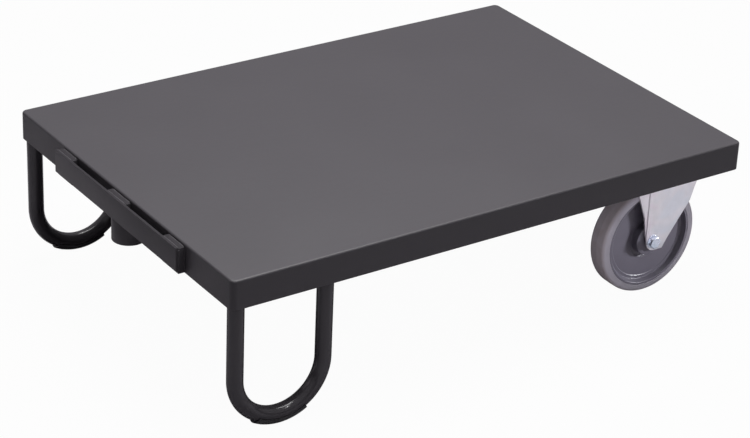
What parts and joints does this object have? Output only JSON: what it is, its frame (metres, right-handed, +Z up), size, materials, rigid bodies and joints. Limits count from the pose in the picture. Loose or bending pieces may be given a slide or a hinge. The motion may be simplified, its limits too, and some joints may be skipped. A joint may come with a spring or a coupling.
{
  "type": "roll platform",
  "caption": "Low flat steel platform on fixed castors at one end and bent-tube foot bows at the other, with a slotted coupling bar and a pin socket for a lifting drawbar.",
  "frame": {"origin": "on the floor, below the middle of the overall box", "axes": "+X along the deck to the castor end, +Y to the right as seen when pushing from the castor end, +Z up"},
  "size_m": [1.016, 0.7, 0.28],
  "materials": {
    "powder_coat": "anthracite powder coat, fine orange-peel satin",
    "glide_plastic": "matt black, scuffed below",
    "zinc_fork": "blue-passivated zinc plate on pressed steel",
    "zinc_fastener": "bright zinc plate",
    "bright_steel": "ground steel",
    "cage_plastic": "moulded",
    "wheel_plastic": "moulded dark grey, slightly satin",
    "tyre_rubber": "grey thermoplastic rubber, non-marking"
  },
  "bodies": {
    "chassis": {"deck": "powder_coat", "front_channel": "powder_coat", "castor_channel_front": "powder_coat", "castor_channel_rear": "powder_coat", "left_rail": "powder_coat", "right_rail": "powder_coat", "left_bow": "powder_coat", "right_bow": "powder_coat", "left_glide": "glide_plastic", "right_glide": "glide_plastic", "left_glide_rivets": "bright_steel", "right_glide_rivets": "bright_steel", "coupling_bar": "powder_coat", "left_spacer": "powder_coat", "middle_spacer": "powder_coat", "right_spacer": "powder_coat", "pin_socket": "powder_coat", "socket_plate": "powder_coat", "socket_gussets": "powder_coat", "left_castor_plate": "zinc_fork", "left_fork": "zinc_fork", "left_fork_rivets": "zinc_fork", "left_plate_bolts": "zinc_fastener", "left_plate_washers": "zinc_fastener", "left_weld_nuts": "zinc_fastener", "left_axle_bolt": "zinc_fastener", "left_axle_washers": "zinc_fastener", "left_axle_nut": "zinc_fastener", "left_axle_sleeve": "bright_steel", "right_castor_plate": "zinc_fork", "right_fork": "zinc_fork", "right_fork_rivets": "zinc_fork", "right_plate_bolts": "zinc_fastener", "right_plate_washers": "zinc_fastener", "right_weld_nuts": "zinc_fastener", "right_axle_bolt": "zinc_fastener", "right_axle_washers": "zinc_fastener", "right_axle_nut": "zinc_fastener", "right_axle_sleeve": "bright_steel"},
    "left_wheel": {"left_hub_rollers": "bright_steel", "left_roller_cage": "cage_plastic", "left_wheel_centre": "wheel_plastic", "left_tyre": "tyre_rubber"},
    "right_wheel": {"right_hub_rollers": "bright_steel", "right_roller_cage": "cage_plastic", "right_wheel_centre": "wheel_plastic", "right_tyre": "tyre_rubber"}
  },
  "joints": [
    {"name": "left_wheel_spin", "type": "hinge", "parent": "chassis", "child": "left_wheel", "pos_m": [0.378, -0.268, 0.1], "axis": [0, 1, 0], "continuous": true},
    {"name": "right_wheel_spin", "type": "hinge", "parent": "chassis", "child": "right_wheel", "pos_m": [0.378, 0.268, 0.1], "axis": [0, 1, 0], "continuous": true}
  ]
}
